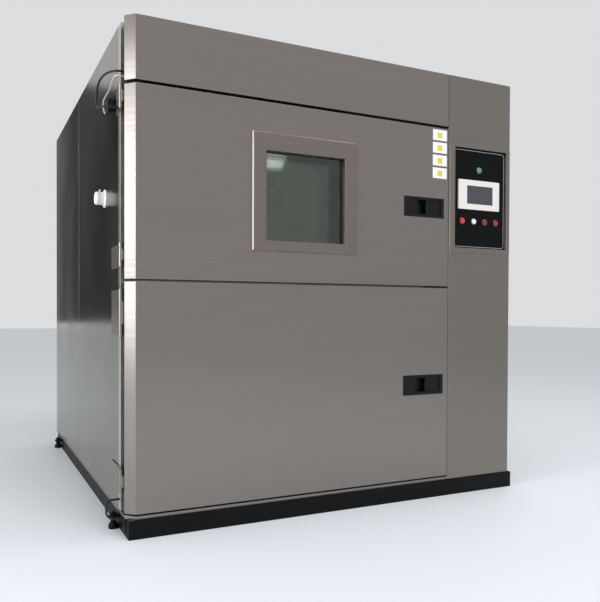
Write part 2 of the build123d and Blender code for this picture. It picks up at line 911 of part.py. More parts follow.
def insulation_core():
    foam = block(left + fold, column_left - sheet, frame_back, insulation_back, pan_top, cabinet_height - 2 * fold)
    for floor, roof in ((cold_floor, cold_top), (hot_floor, hot_top)):
        foam -= block(
            zone_left - sheet, zone_right + sheet, frame_back - 1, zone_back + sheet,
            floor - sheet, roof + sheet,
        )
    foam -= throat_block(sheet, cold_top, hot_floor)
    for z in (hot_wheel_z, cold_wheel_z):
        foam -= disc_y(wheel_x(), z, shaft_radius + shaft_play, zone_back, insulation_back + 1)
    return foam - disc_x(port_y, port_z, port_radius + port_wall, left, zone_left)


# Perforated baffles in front of the fans and coils
def baffle(floor, roof, wheel_z):
    plate = block(zone_left, zone_right, baffle_front, baffle_front + sheet, floor, roof)
    plate += block(zone_left, zone_left + sheet, baffle_front, zone_back, floor, roof)
    plate += block(zone_right - sheet, zone_right, baffle_front, zone_back, floor, roof)
    plate -= disc_y(wheel_x(), wheel_z, wheel_radius * 0.7, baffle_front - 1, baffle_front + 5)
    slots = 9
    pitch = zone_width * 0.8 / slots
    for row in range(3):
        z = floor + 40 + row * 45
        for i in range(slots):
            x = door_mid + (i - (slots - 1) / 2) * pitch
            plate -= block(x - pitch * 0.32, x + pitch * 0.32, baffle_front - 1, baffle_front + 5, z, z + 14)
    return plate


def blower(z):
    # a backward-curved wheel on its shaft
    y1 = zone_back - 12
    y0 = y1 - wheel_width
    x = wheel_x()
    wheel = disc_y(x, z, wheel_radius, y1 - 3, y1)
    wheel += disc_y(x, z, wheel_radius, y0, y0 + 3) - disc_y(x, z, wheel_radius * 0.66, y0 - 1, y0 + 4)
    wheel += disc_y(x, z, shaft_radius * 2.6, y1 - 30, y1)
    wheel += disc_y(x, z, shaft_radius, y1 - 34, insulation_back + 8)
    blade_length = wheel_radius * 0.34
    for i in range(wheel_blades):
        angle = 360 / wheel_blades * i
        blade = Pos(wheel_radius * 0.8, 0, 0) * Rot(0, 0, 38) * Box(blade_length, 2.5, wheel_width)
        wheel += Pos(x, (y0 + y1) / 2, z) * Rot(90, 0, 0) * Rot(0, 0, angle) * blade
    return wheel & disc_y(x, z, wheel_radius, y0 - 50, insulation_back + 50)


def blower_motor(z):
    y0 = insulation_back
    x = wheel_x()
    motor = turned_y(
        [
            (shaft_radius + running_gap, 0), (motor_radius * 1.25, 0), (motor_radius * 1.25, 8),
            (motor_radius, 8), (motor_radius, motor_length - 30), (motor_radius * 0.8, motor_length),
            (0, motor_length), (0, 12), (shaft_radius + running_gap, 12),
        ],
        x, y0, z,
    )
    return motor + block(x - 35, x + 35, y0 + 60, y0 + 130, z + motor_radius - 12, z + motor_radius + 30)


def fan_motor():
    # the fan's motor on a cross bar, with feet on the shroud plate
    y1 = condenser_y0() - 62
    x = fan_x()
    reach = fan_radius + 40
    motor = disc_y(x, fan_z, fan_hub, y1 - 90, y1)
    motor += block(x - 12, x + 12, y1 - 50, y1 - 42, fan_z - reach, fan_z + reach)
    for side in (-1, 1):
        z = fan_z + side * (reach - 6)
        motor += block(x - 12, x + 12, y1 - 50, condenser_y0() - 2, z - 6, z + 6)
    return motor - disc_y(x, fan_z, shaft_radius + running_gap, y1 - fan_shaft_grip - 2, y1 + 1)


def condenser_box():
    middle = door_mid
    bottom = fan_z - condenser_height / 2
    return (middle - condenser_width / 2, middle + condenser_width / 2, bottom, bottom + condenser_height)


def condenser_y0():
    return back - fold - condenser_setback - condenser_depth


def fan_x():
    box = condenser_box()
    return (box[0] + box[1]) / 2


def condenser_fan():
    y1 = condenser_y0() - 8
    y0 = y1 - 50
    x = fan_x()
    fan = disc_y(x, fan_z, fan_hub, y0, y1)
    for i in range(fan_blades):
        angle = 360 / fan_blades * i
        length = fan_radius - fan_hub
        blade = Pos(fan_hub + length / 2 - 4, 0, 0) * Rot(28, 0, 0) * Box(length, 90, 3)
        fan += Pos(x, (y0 + y1) / 2, fan_z) * Rot(90, 0, 0) * Rot(0, 0, angle) * blade
    fan = fan & disc_y(x, fan_z, fan_radius, y0, y1)
    return fan + disc_y(x, fan_z, shaft_radius, y0 - 4 - fan_shaft_grip, y0 + 1)


def condenser():
    # finned block in a flanged frame, with the fan's shroud plate and legs to the floor pan
    x0, x1, z0, z1 = condenser_box()
    y0, y1 = condenser_y0(), condenser_y0() + condenser_depth
    unit = frame_y((x0, x1, z0, z1), (x0 + 12, x1 - 12, z0 + 12, z1 - 12), y0, y1)
    pitch = (x1 - x0 - 24) / (2 * coil_fins)
    for i in range(1, 2 * coil_fins):
        x = x0 + 12 + i * pitch
        unit += block(x - 0.75, x + 0.75, y0 + 10, y1, z0 + 10, z1 - 10)
    shroud = block(x0, x1, y0 - 2, y0, z0, z1) - disc_y(fan_x(), fan_z, fan_radius + 8, y0 - 5, y0 + 5)
    ring = disc_y(fan_x(), fan_z, fan_radius + 10, y0 - 46, y0 - 2)
    ring -= disc_y(fan_x(), fan_z, fan_radius + 8, y0 - 50, y0)
    unit += shroud + ring
    for x in (x0, x1 - 30):
        unit += block(x, x + 30, y0, y1, pan_top, z0 + 1)
    return unit


def heater_bank():
    y = (baffle_front + zone_back) / 2
    x0, x1 = zone_left + 60, zone_right - 60
    z0 = hot_floor + 30
    bank = None
    for i in range(heater_tubes):
        tube = disc_x(y, z0 + i * heater_pitch, heater_tube_radius, x0, x1)
        bank = tube if bank is None else bank + tube
    top = z0 + (heater_tubes - 1) * heater_pitch + 20
    for x in (x0 + 20, x1 - 24):
        bank += block(x, x + 4, y - 20, zone_back, z0 - 20, top)
    return bank


def evaporator_coil():
    y0, y1 = baffle_front + 20, zone_back
    x0, x1 = zone_left + 60, zone_right - 60
    z0, z1 = cold_floor + 30, cold_floor + 270
    coil = block(x0, x0 + 3, y0, y1, z0, z1) + block(x1 - 3, x1, y0, y1, z0, z1)
    pitch = (x1 - x0) / coil_fins
    for i in range(coil_tubes):
        z = z0 + 30 + i * (z1 - z0 - 60) / (coil_tubes - 1)
        coil += disc_x((y0 + y1) / 2 - 10, z, 8, x0 - 6, x1 + 6)
    for i in range(1, coil_fins):
        coil += block(x0 + i * pitch - 0.75, x0 + i * pitch + 0.75, y0, y1 - 10, z0 + 4, z1 - 4)
    return coil


def compressor(x, y):
    r, h = compressor_radius, compressor_height
    foot = pan_top + 25
    body = turned(
        [
            (0, 0), (r * 0.7, 0), (r * 0.92, 12), (r, 35), (r, h * 0.62), (r + 5, h * 0.62),
            (r + 5, h * 0.62 + 8), (r, h * 0.62 + 8), (r, h - 60), (r * 0.85, h - 22),
            (r * 0.45, h), (0, h),
        ],
        x, y, foot,
    )
    body += block(x - r - 15, x + r + 15, y - r * 0.8, y + r * 0.8, foot - 5, foot + 1)
    for dx in (-1, 1):
        for dy in (-1, 1):
            body += disc_z(x + dx * (r - 2), y + dy * r * 0.6, 14, pan_top, foot - 4)
    body += block(x + r * 0.6, x + r + 40, y - 40, y + 40, foot + 120, foot + 210)
    return body


def electrical_plate():
    # a mounting plate with two rails of contactors, on legs from the floor pan
    x0, x1 = column_left + 30, right - 40
    y = front + 330
    z0, z1 = 330.0, 1000.0
    unit = block(x0, x1, y, y + 3, z0, z1)
    for x in (x0, x1 - 30):
        unit += block(x, x + 30, y, y + 30, pan_top, z1)
    for z in (z0 + 120, z0 + 330, z0 + 540):
        unit += block(x0 + 15, x1 - 15, y - 8, y, z - 17, z + 17)
        for i in range(5):
            x = x0 + 22 + i * 48
            unit += block(x, x + 42, y - 80, y - 8, z - 40, z + 40)
    return unit


# The basket: two insulated end plates that close the throat, posts, rails and a wire shelf
def basket_frame():
    x0, x1 = door_mid - basket_width / 2, door_mid + basket_width / 2
    basket = block(x0, x1, basket_y0, basket_y1, basket_floor - seal_plate, basket_floor)
    basket += block(x0, x1, basket_y0, basket_y1, basket_roof, basket_roof + seal_plate)
    for x in (x0 + 10, x1 - 10 - post_size):
        for y in (basket_y0 + 10, basket_y1 - 10 - post_size):
            basket += block(x, x + post_size, y, y + post_size, basket_floor - 1, basket_roof + 1)
    gap = basket_inside / (rail_count + 1)
    ya, yb = basket_y0 + 10 + post_size / 2, basket_y1 - 10 - post_size / 2
    xa, xb = x0 + 10 + post_size / 2, x1 - 10 - post_size / 2
    for i in range(rail_count):
        z = basket_floor + (i + 1) * gap
        for x in (xa, xb):
            basket += Pos(x, (ya + yb) / 2, z) * Rot(90, 0, 0) * Cylinder(rail_radius, yb - ya)
        basket += disc_x(yb, z, rail_radius, xa, xb)
    return basket


def basket_shelf():
    # flat bars that lie on the side rails, with wires across them
    half = basket_width / 2 - 10 - post_size / 2
    x0, x1 = door_mid - half, door_mid + half
    y0, y1 = basket_y0 + 11 + post_size, basket_y1 - 11 - post_size
    z0 = basket_floor + (shelf_rail + 1) * basket_inside / (rail_count + 1) + rail_radius
    z1 = z0 + shelf_bar_height
    w = shelf_bar / 2
    shelf = frame_xy((x0 - w, x1 + w, y0, y1), (x0 + w, x1 - w, y0 + 2 * w, y1 - 2 * w), z0, z1)
    shelf += block(x0, x1, (y0 + y1) / 2 - w, (y0 + y1) / 2 + w, z0, z1)
    count = int((x1 - x0) / shelf_wire_pitch)
    pitch = (x1 - x0) / count
    for i in range(1, count):
        x = x0 + i * pitch
        shelf += disc_y(x, z1 + shelf_wire_radius - 0.5, shelf_wire_radius, y0 + 1, y1 - 1)
    return shelf


def lift_carriage():
    plate = block(
        door_mid - carriage_width / 2, door_mid + carriage_width / 2,
        basket_y1, basket_y1 + carriage_plate, basket_floor - seal_plate, basket_roof + seal_plate,
    )
    for side in (-1, 1):
        x = door_mid + side * rod_spread
        for z in (basket_floor + bearing_inset, basket_roof - bearing_inset - bearing_height):
            plate += block(
                x - bearing_width / 2, x + bearing_width / 2, basket_y1 + carriage_plate,
                rod_y + rod_radius + bearing_wall, z, z + bearing_height,
            )
        plate -= disc_z(x, rod_y, rod_radius + bearing_play, cold_floor - 10, hot_top + 10)
    lug = cylinder_size * 0.4
    z = (basket_floor + basket_roof) / 2
    plate += block(
        door_mid - lug, door_mid + lug, basket_y1 + carriage_plate,
        cylinder_front() - knuckle_play, z - 60, z + 60,
    )
    return plate


def cylinder_front():
    return rod_y - cylinder_size / 2


def lift_cylinder():
    y0 = cylinder_front()
    half = cylinder_size / 2
    tube = block(door_mid - half, door_mid + half, y0, y0 + cylinder_size, cold_floor, hot_top)
    slot = block(door_mid - 5, door_mid + 5, y0 - 1, y0 + 6, cold_floor + 60, hot_top - 60)
    return chamfer(tube.edges().filter_by(Axis.Z), 5) - slot


def lift_guides():
    rods = []
    for side in (-1, 1):
        x = door_mid + side * rod_spread
        stop = basket_floor + bearing_inset
        rod = disc_z(x, rod_y, rod_radius, cold_floor, hot_top)
        rods.append(rod + disc_z(x, rod_y, collar_radius, stop - collar_height, stop))
    return rods


# The cable port through the left wall and its soft plug
def cable_port():
    port = disc_x(port_y, port_z, port_flange_radius, left - port_flange, left)
    port += disc_x(port_y, port_z, port_radius + port_wall, left - port_flange, zone_left - sheet)
    port = chamfer(port.edges().filter_by(GeomType.CIRCLE).sort_by(Axis.X)[0:1], 1.5)
    return port - disc_x(port_y, port_z, port_radius, left - 50, zone_left + 50)


def port_plug():
    r = port_radius - plug_play
    outline = [
        (0, plug_length), (r - 3, plug_length), (r, plug_length - 12), (r, -port_flange),
        (plug_cap_radius, -port_flange - 1), (plug_cap_radius, -port_flange - plug_cap + 8),
        (plug_cap_radius - 6, -port_flange - plug_cap), (plug_cap_radius - 16, -port_flange - plug_cap + 2),
        (0, -port_flange - plug_cap + 2),
    ]
    face = make_face(Polyline(*[(a, b, 0) for a, b in outline], close=True))
    plug = Pos(left, port_y, port_z) * Rot(0, 0, -90) * revolve(face, axis=Axis.Y)
    pull = Pos(left - port_flange - plug_cap, port_y, port_z) * Rot(90, 0, 0) * Torus(13, 4)
    return plug + pull


# Cables: straight runs joined by tangent arcs
def cable(points, diameter):
    corners = [Vector(*point) for point in points]
    radii = []
    for before, here, after in zip(corners, corners[1:], corners[2:]):
        turn = math.radians((here - before).get_angle(after - here))
        run = min((here - before).length, (after - here).length)
        radii.append(0.45 * run / math.tan(turn / 2))
    path = FilletPolyline(*corners, radius=radii)
    print("cable radii", [round(radius, 1) for radius in radii], "length", round(path.length, 1))
    return sweep(Plane(path @ 0, z_dir=path % 0) * Circle(diameter / 2), path=path)


def from_corner(points):
    # points are given from the cabinet's front left edge
    return [(left + x, front + y, z) for x, y, z in points]


upper_cable_route = [
    (core_inset, 72, 1666), (-24, 72, 1666), (-50, 118, 1666), (-60, 182, 1660),
    (-60, 236, 1634), (-60, 240, 1580), (-60, 184, 1558), (-58, 128, 1552),
    (-leaf_thickness, 128, 1552),
]
lower_cable_route = [
    (0, 112, 118), (-52, 112, 118), (-52, 84, 56), (plinth_left_inset, 84, 56),
]
sensor_cable_route = [
    (core_inset, 66, 1648), (-26, 66, 1648), (-26, 116, 1638), (-24, 180, 1626),
    (-24, 240, 1625), (-24, 300, 1620), (-18, 300, 1572), (-18, 245, 1572),
]


def door_sensor():
    # a sensor block on the side panel behind the top hinge
    x0, x1 = left - 26, left
    y0, y1 = front + 185, front + 245
    body = block(x0, x1, y0, y1, 1552, 1602)
    body = fillet(body.edges().filter_by(Axis.X), 5)
    return body + block(x0 + 10, x1, y0 - 18, y0, 1560, 1594)


add("plinth_frame", *plinth_members())
feet = []
for foot_x, foot_y, foot_side in foot_places():
    feet.append(levelling_foot(foot_x, foot_y))
    feet.append(foot_nut(foot_x, foot_y, foot_tab_bottom - nut_height))
    feet.append(foot_nut(foot_x, foot_y, foot_tab_bottom + foot_tab_thickness))
add("levelling_feet", *feet)
add("floor_pan", floor_pan())
add("left_panels", *left_panels())
add("right_panels", *right_panels())
add("rear_panel", rear_panel())
add("top_panel", top_panel())
add("face_frame", face_frame(), latch_keeper(upper_latch_z), latch_keeper(lower_latch_z))
fascia = chamfered_pan(door_right, fascia_bottom, cabinet_height)
add("front_fascia", fascia)
fascia_core = prism(pan_outline(door_right, sheet), fascia_bottom + sheet, cabinet_height - sheet)
fascia_core += block(
    left + core_inset, door_right, front + slab_depth, frame_front,
    fascia_bottom + sheet, cabinet_height - sheet,
)
add("fascia_core", fascia_core)
add("column_skin", column_skin())
add("control_bezel", control_bezel())
add("control_plate", control_plate())
add("touch_panel", touch_panel())
add("touch_glass", touch_glass())
add("control_operators", *[operator_body(x, z) for x, z in operator_places() + [(lamp_x, lamp_z)]])
add("run_lamp", run_lamp())
places = operator_places()
add("power_button", push_key(*places[0]))
add("light_button", push_key(*places[1]))
add("reset_button", push_key(*places[2]))
add("start_button", push_key(*places[3]))

upper_skin = latch_pocket(
    window_hole(chamfered_pan(door_right, upper_door_bottom, upper_door_top)), upper_latch_z
)
add("upper_door_skin", upper_skin)
upper_core = door_core(upper_door_bottom, upper_door_top, hot_floor, hot_top)
add("upper_door_core", latch_pocket(window_hole(upper_core), upper_latch_z))
add("upper_door_liner", window_hole(door_liner(upper_door_bottom, upper_door_top, hot_floor, hot_top)))
add("upper_door_gasket", *door_gasket(upper_door_bottom, upper_door_top, hot_floor, hot_top))
add("window_frame", window_frame())
add("window_panes", *window_panes())
add("glazing_spacers", *glazing_spacers())
add("upper_latch_housing", latch_housing(upper_latch_z))
add("upper_latch_paddle", latch_paddle(upper_latch_z))
add("upper_hinge_leaves", *[door_leaf(z, h) for z, h, reach in upper_hinges])

lower_skin = latch_pocket(chamfered_pan(door_right, lower_door_bottom, lower_door_top), lower_latch_z)
add("lower_door_skin", lower_skin)
lower_core = door_core(lower_door_bottom, lower_door_top, cold_floor, cold_top)
add("lower_door_core", latch_pocket(lower_core, lower_latch_z))
add("lower_door_liner", door_liner(lower_door_bottom, lower_door_top, cold_floor, cold_top))
add("lower_door_gasket", *door_gasket(lower_door_bottom, lower_door_top, cold_floor, cold_top))
add("lower_latch_housing", latch_housing(lower_latch_z))
add("lower_latch_paddle", latch_paddle(lower_latch_z))
add("lower_hinge_leaves", *[door_leaf(z, h) for z, h, reach in lower_hinges])

all_hinges = upper_hinges + lower_hinges
hinge_parts = [cabinet_leaf(z, h, reach) for z, h, reach in all_hinges]
hinge_parts += [hinge_pin(z, h) for z, h, reach in all_hinges]
add("hinge_plates", *hinge_parts)
add("door_cables", cable(from_corner(upper_cable_route), cable_diameter),
    cable(from_corner(lower_cable_route), cable_diameter))
add("sensor_cable", cable(from_corner(sensor_cable_route), sensor_cable_diameter))
add("door_sensor", door_sensor())
add("cable_port", cable_port())
add("port_plug", port_plug())

add("zone_liners", *zone_liners())
add("insulation_core", insulation_core())
add("air_baffles", baffle(hot_floor, hot_top, hot_wheel_z), baffle(cold_floor, cold_top, cold_wheel_z))
add("hot_blower", blower(hot_wheel_z))
add("cold_blower", blower(cold_wheel_z))
add("fan_motors", blower_motor(hot_wheel_z), blower_motor(cold_wheel_z), fan_motor())
add("heater_bank", heater_bank())
add("evaporator_coil", evaporator_coil())
add("condenser", condenser())
add("condenser_fan", condenser_fan())
add("compressors", compressor(door_mid - 170, back - 480), compressor(door_mid + 170, back - 480))
add("electrical_plate", electrical_plate())
add("test_basket", basket_frame())
add("basket_shelf", basket_shelf())
add("lift_carriage", lift_carriage())
add("lift_column", *lift_guides(), lift_cylinder())

for name, solids in nodes.items():
    shape = solids[0] if len(solids) == 1 else Compound(children=solids)
    export_step(shape, f"parts/{name}.step")
print(len(nodes), "nodes")
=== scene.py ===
import json
import math

import bmesh
import bpy
from mathutils import Matrix, Vector

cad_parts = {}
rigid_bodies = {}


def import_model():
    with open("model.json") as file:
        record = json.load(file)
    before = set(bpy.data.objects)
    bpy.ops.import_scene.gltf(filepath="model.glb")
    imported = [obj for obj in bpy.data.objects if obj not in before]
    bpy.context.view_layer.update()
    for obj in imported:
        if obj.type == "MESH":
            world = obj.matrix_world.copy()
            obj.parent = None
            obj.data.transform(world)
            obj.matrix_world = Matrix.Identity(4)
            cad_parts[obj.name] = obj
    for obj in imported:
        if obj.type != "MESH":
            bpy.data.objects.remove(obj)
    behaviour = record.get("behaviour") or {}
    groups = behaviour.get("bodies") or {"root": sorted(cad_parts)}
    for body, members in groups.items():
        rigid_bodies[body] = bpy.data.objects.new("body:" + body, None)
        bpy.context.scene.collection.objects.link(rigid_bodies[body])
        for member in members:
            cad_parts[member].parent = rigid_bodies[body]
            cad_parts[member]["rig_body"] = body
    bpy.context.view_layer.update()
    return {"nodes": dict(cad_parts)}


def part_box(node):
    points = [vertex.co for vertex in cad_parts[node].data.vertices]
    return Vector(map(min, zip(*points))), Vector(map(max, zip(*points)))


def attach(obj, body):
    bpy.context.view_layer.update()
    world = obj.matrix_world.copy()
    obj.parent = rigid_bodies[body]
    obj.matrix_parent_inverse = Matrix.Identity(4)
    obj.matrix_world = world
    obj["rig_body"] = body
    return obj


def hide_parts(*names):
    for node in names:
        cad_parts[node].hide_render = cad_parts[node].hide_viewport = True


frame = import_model()
nodes = frame["nodes"]


# Plinth and levelling feet.
# Box-section members welded into one ring and sprayed with black enamel, with the turned feet and their
# nuts sprayed together with it.
def colour(code):
    parts = [int(code[i:i + 2], 16) / 255 for i in (1, 3, 5)]
    return tuple(c / 12.92 if c <= 0.04045 else ((c + 0.055) / 1.055) ** 2.4 for c in parts) + (1.0,)


def add(material, kind, settings=(), links=()):
    tree = material.node_tree
    made = tree.nodes.new(kind)
    for key, value in dict(settings).items():
        # a key is a property of the node, or the name or number of a socket
        if isinstance(key, str) and hasattr(made, key) and key not in made.inputs:
            setattr(made, key, value)
        else:
            made.inputs[key].default_value = value
    for key, source in dict(links).items():
        tree.links.new(source, made.inputs[key])
    return made


def shader_of(material):
    return material.node_tree.nodes["Principled BSDF"]


def finish(name, code, metallic, roughness, **extra):
    # extra names further shader sockets, with their spaces written as underscores
    material = bpy.data.materials.new(name)
    material.use_nodes = True
    shader = shader_of(material)
    shader.inputs["Base Color"].default_value = colour(code)
    shader.inputs["Metallic"].default_value = metallic
    shader.inputs["Roughness"].default_value = roughness
    for key, value in extra.items():
        shader.inputs[key.replace("_", " ")].default_value = value
    return material


def grain(material, scale, low, high, bump=0.0, detail=2.0):
    # noise with scale waves per metre along X, Y and Z sets the roughness between low and high,
    # and lifts the surface by bump metres
    shader = shader_of(material)
    place = add(material, "ShaderNodeTexCoord")
    turn = add(material, "ShaderNodeMapping", {"Scale": scale}, {"Vector": place.outputs["Object"]})
    noise = add(material, "ShaderNodeTexNoise", {"Scale": 1.0, "Detail": detail},
                {"Vector": turn.outputs["Vector"]})
    # noise rarely leaves the middle of its range, so only that part is spread
    ends = {"From Min": 0.3, "From Max": 0.7, "To Min": low, "To Max": high}
    spread = add(material, "ShaderNodeMapRange", ends, {"Value": noise.outputs["Fac"]})
    material.node_tree.links.new(spread.outputs["Result"], shader.inputs["Roughness"])
    if bump:
        lift = add(material, "ShaderNodeBump", {"Strength": 1.0, "Distance": bump},
                   {"Height": noise.outputs["Fac"]})
        material.node_tree.links.new(lift.outputs["Normal"], shader.inputs["Normal"])
    return noise


def tint(material, source, dark, light):
    # the colour runs from dark to light as source runs from 0 to 1; sockets 6, 7 and output 2 are the
    # mix node's colours
    mix = add(material, "ShaderNodeMix", {"data_type": "RGBA", 6: colour(dark), 7: colour(light)},
              {0: source})
    material.node_tree.links.new(mix.outputs[2], shader_of(material).inputs["Base Color"])


def dress(name, material, node, edge=0.0, steps=2, sharp=32.0):
    # the CAD piece with its triangles merged, its arrises softened by edge millimetres
    source = nodes[node]
    work = bmesh.new()
    work.from_mesh(source.data)
    bmesh.ops.remove_doubles(work, verts=work.verts, dist=1e-6)
    bmesh.ops.dissolve_limit(work, angle_limit=math.radians(0.4), verts=work.verts, edges=work.edges)
    for side in work.edges:
        side.smooth = side.is_manifold and side.calc_face_angle(0) < math.radians(sharp)
    for face in work.faces:
        face.smooth = True
    return place_mesh(name, material, work, node, edge, steps, sharp)


def place_mesh(name, material, work, node=None, edge=0.0, steps=2, sharp=32.0, body=None):
    name = name.replace(" ", "_")
    mesh = bpy.data.meshes.new(name)
    work.to_mesh(mesh)
    work.free()
    made = bpy.data.objects.new(name, mesh)
    bpy.context.scene.collection.objects.link(made)
    mesh.materials.clear()
    mesh.materials.append(material)
    if edge:
        soften = made.modifiers.new("softened arrises", "BEVEL")
        soften.width = edge / 1000
        soften.segments = steps
        soften.limit_method = "ANGLE"
        soften.angle_limit = math.radians(sharp)
        soften.harden_normals = True
        soften.use_clamp_overlap = True
    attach(made, nodes[node]["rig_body"] if node else body)
    if node:
        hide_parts(node)
    return made


# black with a fine sprayed texture and a weak highlight
enamel = finish("semi-gloss black enamel", "#070808", 0.0, 0.5, Specular_IOR_Level=0.15)
grain(enamel, (60, 60, 60), 0.44, 0.56, 0.00006)
dress("welded plinth", enamel, "plinth_frame", 1.2)
dress("levelling feet", enamel, "levelling_feet", 0.6)


# Outer sheets.
# Stainless sheet folded on a press, with a satin ground finish whose lines run level round the cabinet.
# The side sheets are left bright, and mirror what stands beside them with a slight waviness.
ground_lines = (0.7, 0.7, 240)
ground_relief = 0.000003


def ground_sheet(name, dark, light, low, high):
    # ground lines are finer than a pixel; these are drawn about 4 mm apart so that they show
    material = finish(name, light, 1.0, 0.4, Anisotropic=0.6)
    lines = grain(material, ground_lines, low, high, ground_relief, 3.0)
    tint(material, lines.outputs["Fac"], dark, light)
    around = add(material, "ShaderNodeTangent", {"direction_type": "RADIAL", "axis": "Z"})
    material.node_tree.links.new(around.outputs["Tangent"], shader_of(material).inputs["Tangent"])
    return material


# brownish satin steel with faint level lines and a broad highlight
satin = ground_sheet("satin ground stainless", "#867f7a", "#958d88", 0.33, 0.43)
column_satin = ground_sheet("satin ground stainless, column", "#817a73", "#918982", 0.33, 0.43)
# a dim mirror that bends what it reflects
bright = finish("bright stainless sheet", "#77736a", 1.0, 0.16)
grain(bright, (2.2, 2.2, 1.6), 0.13, 0.2, 0.0012, 1.0)
for piece, node in (("left side sheets", "left_panels"), ("right side sheets", "right_panels")):
    dress(piece, bright, node, 0.8)
for piece, node in (
    ("floor pan", "floor_pan"), ("rear sheet", "rear_panel"),
    ("fascia sheet", "front_fascia"), ("upper door sheet", "upper_door_skin"),
    ("lower door sheet", "lower_door_skin"),
):
    dress(piece, satin, node, 0.0 if "door" in piece else 0.6)
dress("column sheet", column_satin, "column_skin", 0.6)
# the same satin steel, its lines running across the cabinet
top_satin = finish("satin ground stainless, top", "#8e8781", 1.0, 0.38)
grain(top_satin, (0.7, 240, 240), 0.34, 0.42)
dress("top sheet", top_satin, "top_panel", 0.6)
dress("control surround", column_satin, "control_bezel", 0.7)

# Face frame and inner linings.
# 2B stainless, pale and smooth, with a light corner strip down the reveal; the linings of the doors and of
# both zones are the same sheet, welded at the corners.

# paler and softer than the outer sheets, with no lines
pale = finish("2B stainless lining", "#c6c1b7", 1.0, 0.32)
grain(pale, (30, 30, 30), 0.28, 0.38)
for piece, node in (
    ("face frame", "face_frame"), ("upper door lining", "upper_door_liner"),
    ("lower door lining", "lower_door_liner"), ("zone linings", "zone_liners"),
    ("air baffles", "air_baffles"), ("basket", "test_basket"),
    ("basket shelf", "basket_shelf"), ("heater bank", "heater_bank"),
):
    dress(piece, pale, node, 0.0 if "shelf" in piece else 0.5)

# Door and fascia cores, gaskets.
# Rigid foam behind a black plastic thermal-break edge, with soft black silicone gasket rings pressed
# between each door and the face frame.

# dull black, a shade lighter than the shadow in the door gaps
edge_black = finish("black thermal-break moulding", "#17181a", 0.0, 0.55)
# flatter still, with no highlight
silicone = finish("black silicone gasket", "#1a1a1b", 0.0, 0.7)
for piece, node in (
    ("upper door core", "upper_door_core"), ("lower door core", "lower_door_core"),
    ("fascia core", "fascia_core"),
):
    dress(piece, edge_black, node, 0.8)
for piece, node in (("upper gaskets", "upper_door_gasket"), ("lower gaskets", "lower_door_gasket")):
    dress(piece, silicone, node)
# cream foam with a coarse broken surface
foam = finish("rigid polyurethane foam", "#d8c9a2", 0.0, 0.9)
grain(foam, (90, 90, 90), 0.85, 0.95, 0.001)
dress("cabinet foam", foam, "insulation_core")

# Window.
# A pressed stainless surround with a bevelled edge and a sleeve down the hole, three clear heated panes
# with a greenish cast, and aluminium spacers between them.

# a little greyer than the doors, so that the surround stands out from them
surround = ground_sheet("satin ground stainless, window", "#7f7771", "#8e857f", 0.30, 0.38)
dress("window surround", surround, "window_frame", 0.5)
# clear, and faintly green through three panes
glass = finish("clear heated glass", "#dfe8dd", 0.0, 0.03, Transmission_Weight=1.0, IOR=1.5)
dress("window panes", glass, "window_panes", 0.4)
# a dull grey line round the glass
spacer = finish("dull anodised spacer", "#5f615a", 1.0, 0.45)
dress("glazing spacers", spacer, "glazing_spacers")

# Latches.
# Flush paddle latches moulded in matt black glass-filled nylon; the paddle pivots at its right end and
# returns by a spring behind it.

# black with a fine moulded grain and a weak highlight
nylon = finish("matt black nylon", "#0c0e10", 0.0, 0.5, Specular_IOR_Level=0.2)
grain(nylon, (700, 700, 700), 0.38, 0.5, 0.00003)
for level in ("upper", "lower"):
    dress(level + " latch housing", nylon, level + "_latch_housing", 0.6)
    dress(level + " latch paddle", nylon, level + "_latch_paddle", 0.6)

# Operator panel.
# A black coated plate with a pale printed border. It carries an off-white touch screen, a green run lamp
# and four lit push buttons in plated rings.

# the darkest surface of the front
coated = finish("black coated plate", "#050606", 0.0, 0.5, Specular_IOR_Level=0.12)
dress("operator plate", coated, "control_plate")
# warm off-white, the lightest surface of the panel
cream = finish("off-white ABS", "#ddd8d0", 0.0, 0.42)
dress("touch screen body", cream, "touch_panel", 0.5)
# a dark grey screen that is switched off
display = finish("dark display glass", "#3a3c40", 0.0, 0.2, Coat_Weight=0.2)
dress("touch screen glass", display, "touch_glass")
# a grey metal rim round each cap
ring = finish("dark plated ring", "#6f6c6d", 1.0, 0.28)
dress("button rings", ring, "control_operators", 0.3)
# saturated lenses with a clear surface
for piece, node, code in (
    ("run lamp lens", "run_lamp", "#43915c"), ("power button cap", "power_button", "#e8141c"),
    ("light button cap", "light_button", "#e9e4e9"), ("reset button cap", "reset_button", "#8c1528"),
    ("start button cap", "start_button", "#a01020"),
):
    lens = finish("moulded lens, " + piece, code, 0.0, 0.3, Coat_Weight=0.3)
    dress(piece, lens, node, 0.6, 3)

# a thin light line just inside the plate's edge
border = finish("pale grey print", "#a9adb3", 0.0, 0.5)
plate_low, plate_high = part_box("control_plate")
inset, line, turn_radius = 0.008, 0.0021, 0.014
print_depth = 0.0002


def rounded_outline(work, x0, x1, z0, z1, y, radius, steps=6):
    # edges of a rectangle with round corners, in the plane at y
    corners = ((x1 - radius, z1 - radius, 0), (x0 + radius, z1 - radius, 90),
               (x0 + radius, z0 + radius, 180), (x1 - radius, z0 + radius, 270))
    loop = []
    for cx, cz, start in corners:
        for i in range(steps + 1):
            angle = math.radians(start + 90 * i / steps)
            loop.append(work.verts.new((cx + radius * math.cos(angle), y, cz + radius * math.sin(angle))))
    return [work.edges.new((a, b)) for a, b in zip(loop, loop[1:] + loop[:1])]


